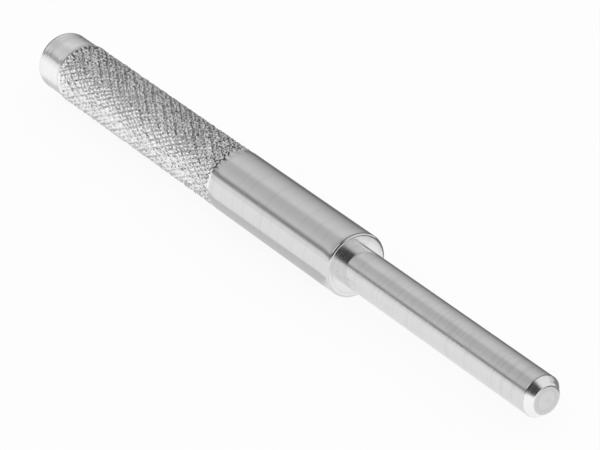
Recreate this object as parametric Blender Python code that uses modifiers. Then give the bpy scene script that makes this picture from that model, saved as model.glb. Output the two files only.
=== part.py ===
# Valve guide drift: a knurled steel handle with a pilot pin pressed into its driving shoulder.
# The tool lies level along X, tip towards +X, on the plane Z = 0 under the middle of its length.

import math

import bmesh
import bpy

# Driving dimensions in metres, from the struck end to the tip
BODY_DIAMETER = 0.0125  # the bar that the handle is turned from
STRUCK_END_LENGTH = 0.0083
STRUCK_END_STEP = 0.00025  # how far the plain end is turned below the bar
STRUCK_EDGE_RADIUS = 0.0008
KNURL_LENGTH = 0.0550
KNURL_DEPTH = 0.00045  # of the grooves below the bar
KNURL_POINT_DROP = 0.00003  # of the diamonds' points below the bar
KNURL_STARTS = 20  # grooves of each hand
KNURL_HELIX_DEGREES = 30.0  # of a groove to the axis
SMOOTH_BODY_LENGTH = 0.0398
SHOULDER_EDGE_CHAMFER = 0.00045
PILOT_DIAMETER = 0.0078
PILOT_LENGTH = 0.0552
TIP_CHAMFER_LENGTH = 0.00155
TIP_CHAMFER_DEGREES = 36.0  # of the lead-in cone to the axis

# The press fit of the pilot's shank in the handle's blind bore
SHANK_LENGTH = 0.0160
SHANK_LEAD_CHAMFER = 0.0006
VENT_FLAT_DEPTH = 0.0004  # flat along the shank that lets the trapped air past
VENT_FLAT_SETBACK = 0.0010  # from the shoulder to where the flat runs out
BORE_END_ROOM = 0.0005
DRILL_POINT_DEGREES = 118.0  # cone that the drill leaves at the end of the bore
FIT_CLEARANCE = 0.00005  # round the shank

# Fineness of the round edge at the struck end
EDGE_ARC_STEPS = 4

BODY_RADIUS = BODY_DIAMETER / 2
STRUCK_END_RADIUS = BODY_RADIUS - STRUCK_END_STEP
PILOT_RADIUS = PILOT_DIAMETER / 2
BORE_RADIUS = PILOT_RADIUS + FIT_CLEARANCE
BORE_DEPTH = SHANK_LENGTH + BORE_END_ROOM
DRILL_POINT_LENGTH = BORE_RADIUS / math.tan(math.radians(DRILL_POINT_DEGREES / 2))
HANDLE_LENGTH = STRUCK_END_LENGTH + KNURL_LENGTH + SMOOTH_BODY_LENGTH
OVERALL_LENGTH = HANDLE_LENGTH + PILOT_LENGTH

# The diamonds sit on a grid of half pitches: columns round the bar and rows along it
KNURL_COLUMNS = 2 * KNURL_STARTS
COLUMN_ANGLE = math.tau / KNURL_COLUMNS
HALF_PITCH_ALONG = BODY_RADIUS * COLUMN_ANGLE / math.tan(math.radians(KNURL_HELIX_DEGREES))
KNURL_ROWS = max(2, round(KNURL_LENGTH / HALF_PITCH_ALONG))
ROW_LENGTH = KNURL_LENGTH / KNURL_ROWS


def new_collection(name):
    collection = bpy.data.collections.new(name)
    bpy.context.scene.collection.children.link(collection)
    return collection


def steel(name, colour, roughness):
    material = bpy.data.materials.new(name)
    material.use_nodes = True
    shader = material.node_tree.nodes["Principled BSDF"]
    shader.inputs["Base Color"].default_value = (*colour, 1.0)
    shader.inputs["Metallic"].default_value = 1.0
    shader.inputs["Roughness"].default_value = roughness
    return material


def turned(name, profile, collection):
    """Turn (radius, height) points, which run down the outer side, about the local Z axis."""
    outline = bpy.data.meshes.new(name + "_profile")
    points = [(radius, 0.0, height) for radius, height in profile]
    outline.from_pydata(points, [(i, i + 1) for i in range(len(points) - 1)], [])
    piece = bpy.data.objects.new(name, outline)
    collection.objects.link(piece)
    screw = piece.modifiers.new("lathe", "SCREW")
    screw.steps = KNURL_COLUMNS
    screw.render_steps = KNURL_COLUMNS
    screw.use_merge_vertices = True
    screw.merge_threshold = 0.000001
    depsgraph = bpy.context.evaluated_depsgraph_get()
    piece.data = bpy.data.meshes.new_from_object(piece.evaluated_get(depsgraph))
    piece.modifiers.clear()
    bpy.data.meshes.remove(outline)
    return piece


def handle_profile():
    """Bore, shoulder, smooth body, knurl rows and struck end, with the shoulder at height 0."""
    points = [
        (0.0, -BORE_DEPTH - DRILL_POINT_LENGTH),
        (BORE_RADIUS, -BORE_DEPTH),
        (BORE_RADIUS, 0.0),
        (BODY_RADIUS - SHOULDER_EDGE_CHAMFER, 0.0),
        (BODY_RADIUS, -SHOULDER_EDGE_CHAMFER),
    ]
    for row in range(KNURL_ROWS + 1):
        points.append((BODY_RADIUS, -SMOOTH_BODY_LENGTH - row * ROW_LENGTH))
    points.append((STRUCK_END_RADIUS, -SMOOTH_BODY_LENGTH - KNURL_LENGTH - STRUCK_END_STEP))
    for step in range(EDGE_ARC_STEPS + 1):
        turn = math.pi / 2 * step / EDGE_ARC_STEPS
        radius = STRUCK_END_RADIUS - STRUCK_EDGE_RADIUS * (1 - math.cos(turn))
        height = -HANDLE_LENGTH + STRUCK_EDGE_RADIUS * (1 - math.sin(turn))
        points.append((radius, height))
    points.append((0.0, -HANDLE_LENGTH))
    return points


def press_knurl(mesh):
    """Push every other grid point in to the groove crossings and crease the faces along the grooves."""
    form = bmesh.new()
    form.from_mesh(mesh)
    place = {}
    for vertex in form.verts:
        row = (-SMOOTH_BODY_LENGTH - vertex.co.z) / ROW_LENGTH
        outside = math.hypot(vertex.co.x, vertex.co.y) > BODY_RADIUS - STRUCK_END_STEP / 2
        if outside and -0.5 < row < KNURL_ROWS + 0.5:
            column = round(math.atan2(vertex.co.y, vertex.co.x) / COLUMN_ANGLE)
            place[vertex] = (round(row), column)
    crossings = {vertex for vertex, (row, column) in place.items() if (row + column) % 2}
    for face in list(form.faces):
        if all(vertex in place for vertex in face.verts):
            bmesh.utils.face_split(face, *[vertex for vertex in face.verts if vertex in crossings])
    for vertex, (row, column) in place.items():
        if 0 < row < KNURL_ROWS:
            drop = KNURL_DEPTH if vertex in crossings else KNURL_POINT_DROP
            vertex.co.xy *= (BODY_RADIUS - drop) / BODY_RADIUS
    form.to_mesh(mesh)
    form.free()


def pilot_profile():
    """Straight pin with a chamfered tip and a shank below the shoulder, which is at height 0."""
    tip_radius = PILOT_RADIUS - TIP_CHAMFER_LENGTH * math.tan(math.radians(TIP_CHAMFER_DEGREES))
    return [
        (0.0, PILOT_LENGTH),
        (tip_radius, PILOT_LENGTH),
        (PILOT_RADIUS, PILOT_LENGTH - TIP_CHAMFER_LENGTH),
        (PILOT_RADIUS, -SHANK_LENGTH + SHANK_LEAD_CHAMFER),
        (PILOT_RADIUS - SHANK_LEAD_CHAMFER, -SHANK_LENGTH),
        (0.0, -SHANK_LENGTH),
    ]


def cut_vent_flat(pilot, cutters):
    """Cut the flat along the shank, from its end to the setback under the shoulder."""
    length = 2 * (SHANK_LENGTH - VENT_FLAT_SETBACK)
    width = PILOT_DIAMETER
    block = bpy.data.meshes.new("vent_flat")
    form = bmesh.new()
    bmesh.ops.create_cube(form, size=1.0)
    bmesh.ops.scale(form, vec=(width, width, length), verts=form.verts)
    form.to_mesh(block)
    form.free()
    cutter = bpy.data.objects.new("vent_flat", block)
    cutter.location = (PILOT_RADIUS - VENT_FLAT_DEPTH + width / 2, 0.0, -SHANK_LENGTH)
    cutter.hide_render = True
    cutter.display_type = "WIRE"
    cutters.objects.link(cutter)
    cut = pilot.modifiers.new("vent_flat", "BOOLEAN")
    cut.operation = "DIFFERENCE"
    cut.object = cutter
    return cutter


def shade_round(piece):
    piece.data.shade_smooth()
    piece.data.set_sharp_from_angle(angle=math.radians(20))


def main():
    for leftover in list(bpy.data.objects):
        bpy.data.objects.remove(leftover, do_unlink=True)
    parts = new_collection("valve_guide_drift")
    cutters = new_collection("cutters")

    handle = turned("knurled_handle", handle_profile(), parts)
    press_knurl(handle.data)
    shade_round(handle)
    handle.data.materials.append(steel("polished_steel", (0.62, 0.62, 0.62), 0.22))

    pilot = turned("pilot", pilot_profile(), parts)
    shade_round(pilot)
    pilot.data.materials.append(steel("turned_steel", (0.66, 0.66, 0.65), 0.32))
    cutter = cut_vent_flat(pilot, cutters)

    axis = bpy.data.objects.new("tool_axis", None)
    axis.location = (HANDLE_LENGTH - OVERALL_LENGTH / 2, 0.0, BODY_RADIUS)
    axis.rotation_euler = (0.0, math.pi / 2, 0.0)
    parts.objects.link(axis)
    for piece in (handle, pilot, cutter):
        piece.parent = axis


main()
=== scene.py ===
# Finish of a valve guide drift: a knurled steel handle and the slim pilot pin pressed into its shoulder

import math

import bpy
import numpy as np
from mathutils import Matrix, Vector


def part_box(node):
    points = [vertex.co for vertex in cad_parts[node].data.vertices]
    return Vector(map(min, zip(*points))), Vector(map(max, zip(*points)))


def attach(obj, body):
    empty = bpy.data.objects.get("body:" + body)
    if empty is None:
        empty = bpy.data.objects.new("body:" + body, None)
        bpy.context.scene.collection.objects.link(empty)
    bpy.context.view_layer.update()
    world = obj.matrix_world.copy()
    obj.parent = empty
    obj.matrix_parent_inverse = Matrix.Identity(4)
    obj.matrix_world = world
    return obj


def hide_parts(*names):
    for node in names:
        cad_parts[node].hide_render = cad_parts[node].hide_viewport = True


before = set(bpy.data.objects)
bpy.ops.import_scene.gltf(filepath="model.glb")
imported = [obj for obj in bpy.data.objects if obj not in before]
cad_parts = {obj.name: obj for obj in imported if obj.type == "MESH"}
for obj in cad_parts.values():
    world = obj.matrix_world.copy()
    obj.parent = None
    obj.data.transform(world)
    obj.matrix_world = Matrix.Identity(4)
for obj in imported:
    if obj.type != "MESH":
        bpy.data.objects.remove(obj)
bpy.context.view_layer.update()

mm = 0.001
handleLow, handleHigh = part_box("knurled_handle")
pilotLow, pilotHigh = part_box("pilot")
bodyRadius = (handleHigh.z - handleLow.z) / 2
pilotRadius = (pilotHigh.z - pilotLow.z) / 2
axisHeight = (handleHigh.z + handleLow.z) / 2
struckFaceAt = handleLow.x
shoulderAt = handleHigh.x
shankEndAt = pilotLow.x
tipAt = pilotHigh.x
print("frame loaded, body radius", round(bodyRadius / mm, 3), "mm")


# Camera

cameraSettings = {
    "azimuth": 56.25,  # degrees round the tool, 0 looks along +Y
    "elevation": 28.10,
    "lens": 193.87,
    "sensor": 36.0,
    "clip": (0.01, 50.0),
    "distance": 572.5 * mm,  # to the plane of the shoulder
    "shoulderAside": 9.94 * mm,  # shoulder's place right of the picture's middle
    "shoulderBelow": 7.25 * mm,  # and below it
}


def makeCamera(s):
    around = math.radians(s["azimuth"])
    above = math.radians(s["elevation"])
    flat = math.cos(above)
    back = Vector((math.sin(around) * flat, -math.cos(around) * flat, math.sin(above)))
    right = Vector((0, 0, 1)).cross(back).normalized()
    up = back.cross(right)
    shoulder = Vector((shoulderAt, 0, axisHeight))
    place = shoulder - right * s["shoulderAside"] + up * s["shoulderBelow"] + back * s["distance"]
    data = bpy.data.cameras.new("photoCamera")
    data.lens = s["lens"]
    data.sensor_width = s["sensor"]
    data.clip_start, data.clip_end = s["clip"]
    camera = bpy.data.objects.new("photoCamera", data)
    camera.matrix_world = Matrix.Translation(place) @ Matrix((right, up, back)).transposed().to_4x4()
    bpy.context.scene.collection.objects.link(camera)
    bpy.context.scene.camera = camera


makeCamera(cameraSettings)
bpy.context.scene.view_settings.view_transform = "Standard"
print("camera placed")


# Node helpers

def addNode(tree, kind, **values):
    node = tree.nodes.new("ShaderNode" + kind)
    for name, value in values.items():
        setattr(node, name, value)
    return node


def plug(tree, target, value):  # a socket is linked, anything else is set
    if isinstance(value, bpy.types.NodeSocket):
        tree.links.new(value, target)
    else:
        target.default_value = value


def math2(tree, operation, first, second=0.0, clamp=False):
    node = addNode(tree, "Math", operation=operation, use_clamp=clamp)
    plug(tree, node.inputs[0], first)
    plug(tree, node.inputs[1], second)
    return node.outputs[0]


def spread(tree, value, low, high, toLow=0.0, toHigh=1.0, smooth=True):
    node = addNode(tree, "MapRange", interpolation_type="SMOOTHSTEP" if smooth else "LINEAR")
    plug(tree, node.inputs["Value"], value)
    plug(tree, node.inputs["From Min"], low)
    plug(tree, node.inputs["From Max"], high)
    plug(tree, node.inputs["To Min"], toLow)
    plug(tree, node.inputs["To Max"], toHigh)
    return node.outputs["Result"]


def mixGrey(tree, factor, first, second):
    node = addNode(tree, "Mix", data_type="RGBA")
    plug(tree, node.inputs[0], factor)
    plug(tree, node.inputs[6], (first, first, first, 1.0))  # sockets 6 and 7 take colours
    plug(tree, node.inputs[7], (second, second, second, 1.0))
    return node.outputs[2]


def mixValue(tree, factor, first, second):
    node = addNode(tree, "Mix", data_type="FLOAT")
    plug(tree, node.inputs[0], factor)
    plug(tree, node.inputs[2], first)  # sockets 2 and 3 take values
    plug(tree, node.inputs[3], second)
    return node.outputs[0]


def noise(tree, vector, scale, detail=2.0, roughness=0.5):
    node = addNode(tree, "TexNoise")
    plug(tree, node.inputs["Vector"], vector)
    plug(tree, node.inputs["Scale"], scale)
    plug(tree, node.inputs["Detail"], detail)
    plug(tree, node.inputs["Roughness"], roughness)
    return node.outputs["Fac"]


def newGroup(name, inputs, outputs):
    group = bpy.data.node_groups.new(name, "ShaderNodeTree")
    for label, kind, value in inputs:
        socket = group.interface.new_socket(label, in_out="INPUT", socket_type="NodeSocket" + kind)
        if value is not None:
            socket.default_value = value
    for label, kind in outputs:
        group.interface.new_socket(label, in_out="OUTPUT", socket_type="NodeSocket" + kind)
    return group, group.nodes.new("NodeGroupInput").outputs, group.nodes.new("NodeGroupOutput").inputs


def useGroup(tree, group, **values):
    node = addNode(tree, "Group", node_tree=group)
    for name, value in values.items():
        plug(tree, node.inputs[name], value)
    return node.outputs


# Shared effects, with all lengths in mm

def makeToolPlace():
    outputs = [("Along", "Float"), ("Radius", "Float"), ("Place", "Vector")]
    group, _, put = newGroup("toolPlace", [], outputs)
    fromAxis = addNode(group, "VectorMath", operation="SUBTRACT")
    plug(group, fromAxis.inputs[0], addNode(group, "TexCoord").outputs["Object"])
    plug(group, fromAxis.inputs[1], (0, 0, axisHeight))
    inMm = addNode(group, "VectorMath", operation="SCALE")
    plug(group, inMm.inputs[0], fromAxis.outputs[0])
    plug(group, inMm.inputs["Scale"], 1 / mm)
    parts = addNode(group, "SeparateXYZ")
    plug(group, parts.inputs[0], inMm.outputs[0])
    along, y, z = parts.outputs
    squared = math2(group, "ADD", math2(group, "MULTIPLY", y, y), math2(group, "MULTIPLY", z, z))
    plug(group, put["Along"], along)
    plug(group, put["Radius"], math2(group, "SQRT", squared))
    plug(group, put["Place"], inMm.outputs[0])
    return group


toolMarksSettings = {
    "pitch": 0.3,
    "wander": 0.08,  # change of a mark round the tool
    "mark": {"scale": 1.0, "detail": 3.0, "roughness": 0.6},
    "band": {"scale": 0.17, "detail": 2.0},  # broad bands of many marks
}


def makeToolMarks(s):
    inputs = [
        ("Across", "Float", 0.0),
        ("Place", "Vector", None),
        ("Pitch", "Float", s["pitch"]),
        ("Wander", "Float", s["wander"]),
    ]
    group, given, put = newGroup("toolMarks", inputs, [("Mark", "Float"), ("Band", "Float")])
    parts = addNode(group, "SeparateXYZ")
    plug(group, parts.inputs[0], given["Place"])
    joined = addNode(group, "CombineXYZ")
    plug(group, joined.inputs[0], math2(group, "DIVIDE", given["Across"], given["Pitch"]))
    plug(group, joined.inputs[1], math2(group, "MULTIPLY", parts.outputs[1], given["Wander"]))
    plug(group, joined.inputs[2], math2(group, "MULTIPLY", parts.outputs[2], given["Wander"]))
    plug(group, put["Mark"], noise(group, joined.outputs[0], **s["mark"]))
    plug(group, put["Band"], noise(group, joined.outputs[0], **s["band"]))
    return group


handlingSettings = {
    "amount": 0.5,
    "smudge": {"scale": 0.22, "detail": 4.0, "roughness": 0.6},
    "smudgeReach": (0.42, 0.72),  # of the noise, from clean to smudged
    "scratch": {"scale": 1.6, "detail": 2.0},
    "scratchReach": (0.66, 0.74),
    "scratchTurn": (0.4, 0.9, 0.3),
    "scratchStretch": (0.25, 3.0, 3.0),  # long one way, thin the others
}


def makeHandling(s):
    inputs = [("Place", "Vector", None), ("Amount", "Float", s["amount"])]
    group, given, put = newGroup("handling", inputs, [("Smudge", "Float"), ("Scratch", "Float")])
    cloud = spread(group, noise(group, given["Place"], **s["smudge"]), *s["smudgeReach"])
    plug(group, put["Smudge"], math2(group, "MULTIPLY", cloud, given["Amount"]))
    turned = addNode(group, "Mapping")
    plug(group, turned.inputs["Vector"], given["Place"])
    plug(group, turned.inputs["Rotation"], s["scratchTurn"])
    plug(group, turned.inputs["Scale"], s["scratchStretch"])
    lines = spread(group, noise(group, turned.outputs[0], **s["scratch"]), *s["scratchReach"])
    plug(group, put["Scratch"], math2(group, "MULTIPLY", lines, given["Amount"]))
    return group


toolPlace = makeToolPlace()
toolMarks = makeToolMarks(toolMarksSettings)
handling = makeHandling(handlingSettings)
print("shared effects made")


# Steel finishes

def newSteel(name, anisotropy=0.0):
    material = bpy.data.materials.new(name)
    material.use_nodes = True
    tree = material.node_tree
    shader = tree.nodes["Principled BSDF"]
    plug(tree, shader.inputs["Metallic"], 1.0)
    if anisotropy:
        plug(tree, shader.inputs["Anisotropic"], anisotropy)
        tangent = addNode(tree, "Tangent", direction_type="RADIAL", axis="X")
        plug(tree, shader.inputs["Tangent"], tangent.outputs[0])
    return material, tree, shader, useGroup(tree, toolPlace)


def bump(tree, shader, height, depth):
    node = addNode(tree, "Bump")
    plug(tree, node.inputs["Strength"], 1.0)
    plug(tree, node.inputs["Distance"], depth)
    plug(tree, node.inputs["Height"], height)
    plug(tree, shader.inputs["Normal"], node.outputs[0])


markedSettings = {
    "polishedSteel": {
        "colour": 0.75, "dull": 0.70, "rough": (0.07, 0.15), "handled": 0.6,
        "across": "Along", "pitch": 0.25, "depth": 0.0003 * mm, "anisotropy": 0.0,
    },
    "turnedSteel": {
        "colour": 0.75, "dull": 0.69, "rough": (0.10, 0.24), "handled": 0.4,
        "across": "Along", "pitch": 0.22, "depth": 0.0016 * mm, "anisotropy": 0.35,
    },
    # lighter than the pin's turned steel; on the tip's chamfer this lightness is a painted highlight
    "struckSteel": {
        "colour": 0.96, "dull": 0.79, "rough": (0.14, 0.32), "handled": 0.4,
        "across": "Along", "pitch": 0.30, "depth": 0.0024 * mm, "anisotropy": 0.35,
    },
    # painted highlight: the shoulder's faced steel is lighter than the same faced finish on the tip face
    "facedSteelPaintedHighlight": {
        "colour": 0.92, "dull": 0.82, "rough": (0.18, 0.36), "handled": 0.3,
        "across": "Radius", "pitch": 0.16, "depth": 0.0016 * mm, "anisotropy": 0.45,
    },
    # painted shade: the tip face's faced steel is darker than the shoulder's
    "tipSteelPaintedShade": {
        "colour": 0.70, "dull": 0.60, "rough": (0.18, 0.36), "handled": 0.6,
        "across": "Radius", "pitch": 0.22, "depth": 0.0020 * mm, "anisotropy": 0.45,
    },
}

wearSettings = {  # the same on all marked steel
    "wornDull": 0.6,  # share of the wear that dulls the colour
    "bandReach": (0.45, 0.75),  # of the bands, from bright to dull
    "wornRough": 0.7,  # share of marks and wear that roughens
    "roughReach": (0.2, 0.8),  # of that share, from smooth to rough
}


def makeMarkedSteel(name, s, wear):
    material, tree, shader, place = newSteel(name, s["anisotropy"])
    marks = useGroup(tree, toolMarks, Across=place[s["across"]], Place=place["Place"], Pitch=s["pitch"])
    touched = useGroup(tree, handling, Place=place["Place"], Amount=s["handled"])
    worn = math2(tree, "MAXIMUM", touched["Smudge"], touched["Scratch"])
    bands = spread(tree, marks["Band"], *wear["bandReach"])
    dulled = math2(tree, "MAXIMUM", math2(tree, "MULTIPLY", worn, wear["wornDull"]), bands)
    plug(tree, shader.inputs["Base Color"], mixGrey(tree, dulled, s["colour"], s["dull"]))
    uneven = math2(tree, "ADD", marks["Mark"], worn)
    uneven = math2(tree, "MULTIPLY", uneven, wear["wornRough"], clamp=True)
    plug(tree, shader.inputs["Roughness"], spread(tree, uneven, *wear["roughReach"], *s["rough"]))
    bump(tree, shader, marks["Mark"], s["depth"])
    return material


knurlFinish = {
    "tip": 0.99,
    "groove": 0.71,
    "sunk": (0.10, 0.33),  # mm below the bar, from the light points to the full groove colour
    "rough": (0.10, 0.22),
    "handled": 0.6,
    "grain": {"scale": 9.0, "detail": 3.0, "roughness": 0.6},
    "grainReach": (0.2, 0.7),
    "grainDarkening": (0.6, 1.0),  # share of the darkening that the grain lets through
    "grainDepth": 0.003 * mm,
}


def makeKnurledSteel(s):
    material, tree, shader, place = newSteel("knurledSteel")
    # the colour darkens the deeper the surface lies below the bar, more where the grain is high
    below = math2(tree, "SUBTRACT", bodyRadius / mm, place["Radius"])
    sunk = spread(tree, below, *s["sunk"])
    grain = noise(tree, place["Place"], **s["grain"])
    grainPart = spread(tree, grain, *s["grainReach"], *s["grainDarkening"])
    deepDarkening = math2(tree, "MULTIPLY", sunk, grainPart, clamp=True)
    plug(tree, shader.inputs["Base Color"], mixGrey(tree, deepDarkening, s["tip"], s["groove"]))
    touched = useGroup(tree, handling, Place=place["Place"], Amount=s["handled"])
    uneven = math2(tree, "MAXIMUM", deepDarkening, touched["Smudge"])
    plug(tree, shader.inputs["Roughness"], spread(tree, uneven, 0.0, 1.0, *s["rough"]))
    bump(tree, shader, grain, s["grainDepth"])
    return material


finishes = {name: makeMarkedSteel(name, s, wearSettings) for name, s in markedSettings.items()}
finishes["knurledSteel"] = makeKnurledSteel(knurlFinish)
print("finishes made:", ", ".join(finishes))


# Turned meshes, as rings: (place along X, radius or one radius for each column, finish of the band after it)

turnedSettings = {
    "sharpFrom": 75,  # degrees between two faces
    "bakeStrips": 2,  # upright strips of the unrolled skin, side by side
    "bakeEdge": 0.02,  # left free round a strip
}


def bakeLayout(rings, columns, s):
    strips, edge = s["bakeStrips"], s["bakeEdge"]
    places = [ring[0] for ring in rings]
    radii = [np.mean(ring[1]) for ring in rings]
    reach = [0.0, radii[0]]  # way over the skin from the first pole to each ring
    for band in range(len(rings) - 1):
        step = math.hypot(places[band + 1] - places[band], radii[band + 1] - radii[band])
        reach.append(reach[-1] + step)
    reach.append(reach[-1] + radii[-1])
    reach = np.array(reach)
    cuts = [int(np.abs(reach - reach[-1] * strip / strips).argmin()) for strip in range(strips + 1)]

    def spot(band, level, column):
        strip = sum(band >= cut for cut in cuts[1:-1])
        low, high = reach[cuts[strip]], reach[cuts[strip + 1]]
        across = (strip + edge + (1 - 2 * edge) * column / columns) / strips
        return across, edge + (1 - 2 * edge) * (reach[level] - low) / (high - low)
    return spot


def ringPoints(rings, columns):
    angles = np.arange(columns) * math.tau / columns
    points = []
    for along, radius, _ in rings:
        radii = np.broadcast_to(np.asarray(radius, float), columns)
        across, height = radii * np.sin(angles), axisHeight - radii * np.cos(angles)
        points.append(np.stack([np.full(columns, along), across, height], 1))
    poles = [[rings[0][0], 0, axisHeight], [rings[-1][0], 0, axisHeight]]
    return np.concatenate(points + [poles]).tolist()


def turnedPiece(name, rings, columns, slots, diagonals=None):
    count = len(rings)
    spot = bakeLayout(rings, columns, turnedSettings)
    faces = []
    faceSlots = []
    spots = []

    def pointAt(level, column):
        if level == 0:
            return count * columns  # first pole
        if level > count:
            return count * columns + 1  # last pole
        return (level - 1) * columns + column % columns

    def addFace(band, *corners):  # corners: (level, column), where levels are a pole, the rings and a pole
        faces.append([pointAt(level, column) for level, column in corners])
        faceSlots.append(slots.index(rings[max(band - 1, 0)][2]))
        for level, column in corners:
            atPole = level == 0 or level > count
            spots.append(spot(band, level, column + 0.5 if atPole else column))

    for column in range(columns):
        after = column + 1
        addFace(0, (0, column), (1, after), (1, column))
        addFace(count, (count + 1, column), (count, column), (count, after))
        for band in range(1, count):
            a, b, c, d = (band, column), (band, after), (band + 1, after), (band + 1, column)
            turn = diagonals(band - 1, column) if diagonals else None
            if turn is None:
                addFace(band, a, b, c, d)
            elif turn:
                addFace(band, a, b, d)
                addFace(band, b, c, d)
            else:
                addFace(band, a, b, c)
                addFace(band, a, c, d)
    mesh = bpy.data.meshes.new(name)
    mesh.from_pydata(ringPoints(rings, columns), [], faces)
    for slot in slots:
        mesh.materials.append(finishes[slot])
    mesh.polygons.foreach_set("material_index", faceSlots)
    mesh.uv_layers.new(name="OFBake").uv.foreach_set("vector", np.ravel(spots))
    mesh.shade_smooth()
    mesh.set_sharp_from_angle(angle=math.radians(turnedSettings["sharpFrom"]))
    mesh.update()
    piece = bpy.data.objects.new(name, mesh)
    bpy.context.scene.collection.objects.link(piece)
    return piece


def roundedCorner(centreAlong, centreRadius, size, turn, steps, finish):
    corner = []
    for angle in np.radians(np.linspace(*turn, steps + 1)):
        along, radius = centreAlong + size * math.sin(angle), centreRadius + size * math.cos(angle)
        corner.append((along, radius, finish))
    return corner


# Knurled handle

handleSettings = {
    "finishes": ["struckSteel", "knurledSteel", "polishedSteel", "facedSteelPaintedHighlight"],
    "struckEndLength": 8.3 * mm,
    "struckEndStep": 0.25 * mm,
    "struckFaceRings": (0.08, 0.3, 0.6),  # of the end's radius
    "struckEdge": 0.8 * mm,
    "struckEdgeTurn": (-90, 0),
    "struckEdgeSteps": 7,
    "turningPitch": 0.40 * mm,
    "struckMarks": 0.070 * mm,  # the few deep turning marks on the struck end
    "struckMarksFew": 3,  # power that keeps most marks shallow
    "knurlLength": 55.7 * mm,  # with the run-out in front
    "knurlDepth": 0.27 * mm,
    "knurlStarts": 40,  # grooves of each hand
    "knurlRows": 65,  # half pitches along the grip
    "fineness": 3,  # mesh steps in half a pitch
    "topShare": 0.10,  # flat of a diamond's point, of half a pitch
    "topAside": 0.30,  # how far a point sits off its diamond's middle, of a pitch
    "topLean": 0.10 * mm,  # uneven tops, from one edge to the other
    "flankCurve": 1.2,  # above 1, the flanks are hollow and the points sharp
    "secondTrack": 0.82,  # depth of every other groove, where the wheels tracked twice
    "broadRise": 0.07 * mm,  # of the broad diamonds between the deeper grooves
    "depthChange": 0.25,  # from groove to groove
    "burrs": 0.045 * mm,  # small unevenness of the pressed surface
    "runOutFront": 1.2 * mm,
    "runOutRear": 0.7 * mm,
    "runOutRagged": 0.5 * mm,
    "bodyRings": 20,
    "shoulderEdge": 0.45 * mm,
    "shoulderEdgeTurn": (15, 90),
    "shoulderEdgeSteps": 5,
    "shoulderRings": 12,
    "boreDepth": 16.5 * mm,
    "drillPoint": 2.3 * mm,
    "drillBlunt": 0.02,  # of the bore's radius
    "seed": 8,
}


def knurlRings(s, draw):
    starts, rows, fine = s["knurlStarts"], s["knurlRows"], s["fineness"]
    columns = 2 * starts * fine
    rearAt = struckFaceAt + s["struckEndLength"]
    length = s["knurlLength"]
    tie = 1e-6  # puts a point half way between two grooves in the same one every time
    depths = 1 + s["depthChange"] * draw.uniform(-1, 1, (2, starts))
    depths[:, 1::2] *= s["secondTrack"]
    ragged = s["runOutRagged"] * draw.uniform(-1, 1, (2, 2, starts))
    leans = s["topLean"] * draw.uniform(-1, 1, (2, starts, starts))
    drops = s["topLean"] * draw.uniform(-1, 1, (starts, starts))
    shifts = s["topAside"] * draw.uniform(-1, 1, (2, starts, starts))
    around = np.arange(columns) / fine
    rings = []
    for step in range(rows * fine + 1):
        along = step / fine
        at = length * along / rows
        cut = np.zeros(columns)
        fade = np.ones(columns)
        broad = np.ones(columns)  # 0 in a deeper groove, 1 half way to the next
        phases = [(around + along) / 2, (around - along) / 2]  # counted in pitches, one for each hand
        cell = tuple(np.round(phase).astype(int) % starts for phase in phases)  # which diamond
        top = drops[cell]
        for hand, phase in enumerate(phases):
            groove = np.floor(phase + tie).astype(int) % starts
            aside = phase - np.round(phase)  # 0 in the middle of a diamond, 0.5 in a groove
            point = shifts[hand][cell]
            oneFlank, otherFlank = (0.5 + aside) / (0.5 + point), (0.5 - aside) / (0.5 - point)
            fromGroove = np.where(aside < point, oneFlank, otherFlank)
            rise = np.clip(fromGroove / (1 - s["topShare"]), 0, 1)  # 0 in a groove
            front = np.clip((length - at + ragged[hand, 0][groove]) / s["runOutFront"], 0, 1)
            rear = np.clip((at + ragged[hand, 1][groove]) / s["runOutRear"], 0, 1)
            shape = (1 - rise ** s["flankCurve"]) * depths[hand][groove]
            cut = np.maximum(cut, s["knurlDepth"] * shape * front * rear)
            fade *= front * rear
            broad = np.minimum(broad, np.abs((phase + 0.5) % 2 - 1))
            top = top + leans[hand][cell] * (0.5 + aside)
        burrs = s["burrs"] * draw.normal(size=columns)
        uneven = s["broadRise"] * (0.5 - broad) + np.maximum(top, 0) + burrs
        cut = np.clip(cut + uneven * fade, 0, None)
        if step in (0, rows * fine):
            cut[:] = 0
        rings.append((rearAt + at, bodyRadius - cut, "knurledSteel"))
    return rings


def grooveDiagonal(s, firstRing):
    # Which way to split a face of the knurl, so that its edge follows the nearer groove
    fine, rows = s["fineness"], s["knurlRows"]

    def pick(ring, column):
        step = ring - firstRing
        if not 0 <= step < rows * fine:
            return None
        around, along = (column + 0.5) / fine, (step + 0.5) / fine
        first, second = (around + along) / 2, (around - along) / 2
        return abs(first - round(first)) > abs(second - round(second))
    return pick


def struckEndRings(s, draw):
    radius = bodyRadius - s["struckEndStep"]
    stepAt = struckFaceAt + s["struckEndLength"] - s["struckEndStep"]
    edge, pitch = s["struckEdge"], s["turningPitch"]
    rings = [(struckFaceAt, share * radius, "facedSteelPaintedHighlight") for share in s["struckFaceRings"]]
    corner = (struckFaceAt + edge, radius - edge, edge, s["struckEdgeTurn"], s["struckEdgeSteps"])
    rings += roundedCorner(*corner, "struckSteel")
    for along in np.arange(struckFaceAt + edge + pitch, stepAt, pitch):
        mark = s["struckMarks"] * draw.uniform() ** s["struckMarksFew"]
        rings.append((along, radius - mark, "struckSteel"))
    rings.append((stepAt, radius, "knurledSteel"))
    return rings


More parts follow.
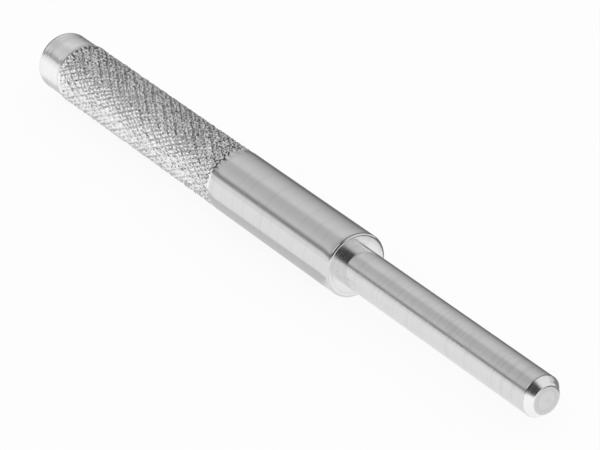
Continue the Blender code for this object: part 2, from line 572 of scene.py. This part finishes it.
def bodyRings(s, fromAt):
    edge = s["shoulderEdge"]
    alongs = np.linspace(fromAt, shoulderAt - edge, s["bodyRings"])
    rings = [(along, bodyRadius, "polishedSteel") for along in alongs]
    corner = (shoulderAt - edge, bodyRadius - edge, edge, s["shoulderEdgeTurn"], s["shoulderEdgeSteps"])
    rings += roundedCorner(*corner, "polishedSteel")[:-1]
    # the shoulder takes the lighter faced steel: painted highlight
    for radius in np.linspace(bodyRadius - edge, pilotRadius, s["shoulderRings"]):
        rings.append((shoulderAt, radius, "facedSteelPaintedHighlight"))
    boreEnd = shoulderAt - s["boreDepth"]
    rings.append((shoulderAt - s["boreDepth"] / 2, pilotRadius, "struckSteel"))
    rings.append((boreEnd, pilotRadius, "struckSteel"))
    pointAt = boreEnd - (1 - s["drillBlunt"]) * s["drillPoint"]
    rings.append((pointAt, s["drillBlunt"] * pilotRadius, "struckSteel"))
    return rings


def makeHandle(s):
    draw = np.random.default_rng(s["seed"])
    struckEnd = struckEndRings(s, draw)
    knurl = knurlRings(s, draw)
    rings = struckEnd + knurl[:-1] + bodyRings(s, knurl[-1][0])
    columns = 2 * s["knurlStarts"] * s["fineness"]
    diagonals = grooveDiagonal(s, len(struckEnd))
    return turnedPiece("knurledHandle", rings, columns, s["finishes"], diagonals)


handle = makeHandle(handleSettings)
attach(handle, "root")
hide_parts("knurled_handle")
print("handle made with", len(handle.data.polygons), "faces")


# Pilot pin

pilotSettings = {
    "finishes": ["turnedSteel", "tipSteelPaintedShade", "struckSteel"],
    "columns": 128,
    "shankFaceRing": 0.1,  # of the pin's radius
    "leadChamfer": 0.6 * mm,
    "hiddenPlain": 0.5 * mm,  # last plain band of the shank, behind the shoulder
    "turningPitch": 0.25 * mm,
    "turningDepth": 0.012 * mm,
    "tipChamfer": 1.55 * mm,
    "tipAngle": 36.0,
    "tipEdge": 0.10 * mm,
    "tipMarks": 0.016 * mm,  # turning marks on the chamfer
    "chamferRings": (0.12, 0.95, 8),  # first and last, of the chamfer, and how many
    "tipFaceRings": (0.97, 0.8, 0.6, 0.4, 0.2, 0.05),  # of the tip's radius
    "seed": 11,
}


def makePilot(s):
    draw = np.random.default_rng(s["seed"])
    slope = math.tan(math.radians(s["tipAngle"]))
    tipRadius = pilotRadius - s["tipChamfer"] * slope
    chamferAt = tipAt - s["tipChamfer"]
    lead, pitch, halfEdge = s["leadChamfer"], s["turningPitch"], s["tipEdge"] / 2
    shank = [
        (shankEndAt, s["shankFaceRing"] * pilotRadius),
        (shankEndAt, pilotRadius - lead),
        (shankEndAt + lead, pilotRadius),
        (shoulderAt - s["hiddenPlain"], pilotRadius),
        (shoulderAt, pilotRadius),
    ]
    rings = [(along, radius, "turnedSteel") for along, radius in shank]
    for along in np.arange(shoulderAt + pitch, chamferAt - s["tipEdge"], pitch):
        rings.append((along, pilotRadius - s["turningDepth"] * draw.uniform(), "turnedSteel"))
    rings.append((chamferAt - halfEdge, pilotRadius, "turnedSteel"))
    rings.append((chamferAt + halfEdge, pilotRadius - halfEdge * slope, "turnedSteel"))
    # the chamfer takes the lighter struck-end steel instead of the pin's turned steel: painted highlight
    for share in np.linspace(*s["chamferRings"]):
        radius = pilotRadius + share * (tipRadius - pilotRadius) - s["tipMarks"] * draw.uniform()
        rings.append((chamferAt + share * s["tipChamfer"], radius, "struckSteel"))
    # the tip face takes the darker faced steel: painted shade
    for share in s["tipFaceRings"]:
        rings.append((tipAt, share * tipRadius, "tipSteelPaintedShade"))
    return turnedPiece("pilotPin", rings, s["columns"], s["finishes"])


pilot = makePilot(pilotSettings)
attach(pilot, "root")
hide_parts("pilot")
print("pilot made with", len(pilot.data.polygons), "faces")


# Floor and light

def mirroredRay(tree, path):  # 1 for a ray that the steel has mirrored
    return math2(tree, "MAXIMUM", path.outputs["Is Glossy Ray"], path.outputs["Is Transmission Ray"])


floorSettings = {
    "size": 6.0,
    "colour": 0.96,
    "roughness": 0.9,
    "seenWhite": 0.90,  # share of plain white to the camera
    "mirroredWhite": 0.74,  # and in the steel
    "behind": 0.20,  # level of the floor behind the tool in the steel
    "behindReach": (13 * mm, 18 * mm),
    "beside": 0.64,  # and of a painted shadow close along the front of the handle, seen only in the steel
    "paintedShadowReach": (-11.25 * mm, -9.25 * mm),
    "paintedShadowTilt": 0.035,  # the painted shadow widens towards the shoulder
    "paintedShadowEnd": (7 * mm, 3 * mm),  # and fades out this far behind it
}


def makePaper(s):
    material = bpy.data.materials.new("whitePaper")
    material.use_nodes = True
    tree = material.node_tree
    shader = tree.nodes["Principled BSDF"]
    plug(tree, shader.inputs["Base Color"], (s["colour"], s["colour"], s["colour"], 1.0))
    plug(tree, shader.inputs["Roughness"], s["roughness"])
    plug(tree, shader.inputs["Specular IOR Level"], 0.0)
    parts = addNode(tree, "SeparateXYZ")
    plug(tree, parts.inputs[0], addNode(tree, "TexCoord").outputs["Object"])
    along, across, _ = parts.outputs
    behind = spread(tree, across, *s["behindReach"])
    # painted shadow: a strip along the front of the handle, darker only where the steel mirrors the floor
    endFrom, endTo = s["paintedShadowEnd"]
    rear = spread(tree, along, shoulderAt - endFrom, shoulderAt - endTo, 1.0, 0.0)
    tilted = math2(tree, "ADD", across, math2(tree, "MULTIPLY", along, s["paintedShadowTilt"]))
    beside = math2(tree, "MULTIPLY", rear, spread(tree, tilted, *s["paintedShadowReach"]))
    level = mixValue(tree, beside, 1.0, s["beside"])
    level = mixValue(tree, behind, level, s["behind"])
    path = addNode(tree, "LightPath")
    mirrored = mirroredRay(tree, path)
    white = addNode(tree, "Emission")
    plug(tree, white.inputs["Color"], (1, 1, 1, 1))
    plug(tree, white.inputs["Strength"], mixValue(tree, mirrored, 1.0, level))
    shaded = math2(tree, "MAXIMUM", behind, beside)
    inSteel = math2(tree, "MULTIPLY", mirrored, mixValue(tree, shaded, s["mirroredWhite"], 1.0))
    toCamera = math2(tree, "MULTIPLY", path.outputs["Is Camera Ray"], s["seenWhite"])
    blend = addNode(tree, "MixShader")
    plug(tree, blend.inputs[0], math2(tree, "MAXIMUM", toCamera, inSteel))
    plug(tree, blend.inputs[1], shader.outputs[0])
    plug(tree, blend.inputs[2], white.outputs[0])
    plug(tree, tree.nodes["Material Output"].inputs["Surface"], blend.outputs[0])
    return material


def makeFloor(s):
    half = s["size"] / 2
    corners = [(-half, -half, 0), (half, -half, 0), (half, half, 0), (-half, half, 0)]
    mesh = bpy.data.meshes.new("studioFloor")
    mesh.from_pydata(corners, [], [(0, 1, 2, 3)])
    mesh.materials.append(makePaper(s))
    floor = bpy.data.objects.new("studioFloor", mesh)
    bpy.context.scene.collection.objects.link(floor)


# Levels of the room as the steel mirrors it; heights and sides are parts of a direction, from -1 to 1
roomSettings = {
    "behindLow": 0.30,  # +Y side at the horizon
    "behindHigh": 0.72,  # and overhead
    "behindReach": (0.0, 0.66),
    "frontWall": 0.66,  # -Y side
    "frontTop": 0.55,
    "frontReach": (0.40, 0.66),
    "frontSeam": 0.42,  # dark seam between the wall and the sweep below it
    "frontSweep": 0.86,
    "seamHeight": 0.275,
    "seamWidth": 0.15,
    "sideReach": (-0.12, 0.12),  # from the front to behind
    "crown": 0.08,  # dark ceiling between the far end and the near side
    "crownFront": 1.0,
    "crownFrontReach": (0.02, 0.35),
    "crownBehind": 0.08,
    "crownBehindReach": (0.0, 0.5),
    "crownSideReach": (-0.15, 0.15),
    "crownReach": (-0.69, -0.52),
    "nearSide": 0.62,  # +X side, which the chamfers mirror
    "nearSweep": 1.0,
    "nearHeight": (0.10, 0.35),
    "nearReach": (-0.20, 0.05),
    "farPatches": [
        {"towards": (-0.30, -0.60, 0.74), "level": 1.0, "reach": (0.935, 0.975)},  # softbox in the knurl
        {"towards": (-1.0, 0.0, 0.0), "level": 0.04, "reach": (0.82, 0.95)},  # dark far end
    ],
    "nearPatches": [
        {"towards": (0.41, -0.55, 0.70), "level": 0.06, "reach": (0.79, 0.95)},  # flag in the tip's chamfer
        {"towards": (0.74, -0.36, 0.55), "level": 0.05, "reach": (0.86, 0.94)},  # flag in the shoulder
    ],
    "plain": 0.86,  # light on what is not metal
}


def addPatches(tree, direction, level, patches):
    # Lamps and flags of the room, each round the direction that it stands in
    for patch in patches:
        facing = addNode(tree, "VectorMath", operation="DOT_PRODUCT")
        plug(tree, facing.inputs[0], direction)
        plug(tree, facing.inputs[1], Vector(patch["towards"]).normalized())
        level = mixValue(tree, spread(tree, facing.outputs["Value"], *patch["reach"]), level, patch["level"])
    return level


def makeRoom(s):
    world = bpy.data.worlds.new("studioRoom")
    bpy.context.scene.world = world
    world.use_nodes = True
    tree = world.node_tree
    direction = addNode(tree, "TexCoord").outputs["Generated"]
    parts = addNode(tree, "SeparateXYZ")
    plug(tree, parts.inputs[0], direction)
    near, side, height = parts.outputs
    behind = spread(tree, height, *s["behindReach"], s["behindLow"], s["behindHigh"], smooth=False)
    wall = spread(tree, height, *s["frontReach"], s["frontWall"], s["frontTop"])
    seamAt, seamWidth = s["seamHeight"], s["seamWidth"]
    offSeam = math2(tree, "ABSOLUTE", math2(tree, "SUBTRACT", height, seamAt))
    below = spread(tree, height, seamAt - seamWidth, seamAt, s["frontSweep"], wall)
    front = math2(tree, "MULTIPLY", below, spread(tree, offSeam, 0.0, seamWidth, s["frontSeam"], 1.0))
    level = mixValue(tree, spread(tree, side, *s["sideReach"]), front, behind)
    crownFront = spread(tree, height, *s["crownFrontReach"], s["crownFront"], s["crown"])
    crownBehind = spread(tree, height, *s["crownBehindReach"], s["crownBehind"], s["crown"])
    crown = mixValue(tree, spread(tree, side, *s["crownSideReach"]), crownFront, crownBehind)
    level = mixValue(tree, spread(tree, near, *s["crownReach"]), level, crown)
    level = addPatches(tree, direction, level, s["farPatches"])
    beside = spread(tree, height, *s["nearHeight"], s["nearSweep"], s["nearSide"])
    level = mixValue(tree, spread(tree, near, *s["nearReach"]), level, beside)
    level = addPatches(tree, direction, level, s["nearPatches"])
    mirrored = mirroredRay(tree, addNode(tree, "LightPath"))
    background = tree.nodes["Background"]
    plug(tree, background.inputs["Color"], mixValue(tree, mirrored, s["plain"], level))
    plug(tree, background.inputs["Strength"], 1.0)


softboxSettings = {"place": (0.45, 0.55, 0.70), "size": 0.90, "power": 0.35}


def makeSoftbox(s):
    data = bpy.data.lights.new("keySoftbox", "AREA")
    data.shape = "SQUARE"
    data.size = s["size"]
    data.energy = s["power"]
    lamp = bpy.data.objects.new("keySoftbox", data)
    lamp.location = s["place"]
    lamp.rotation_mode = "QUATERNION"
    lamp.rotation_quaternion = (-Vector(s["place"])).to_track_quat("-Z", "Y")
    bpy.context.scene.collection.objects.link(lamp)


makeFloor(floorSettings)
makeRoom(roomSettings)
makeSoftbox(softboxSettings)
print("floor, room and softbox made")
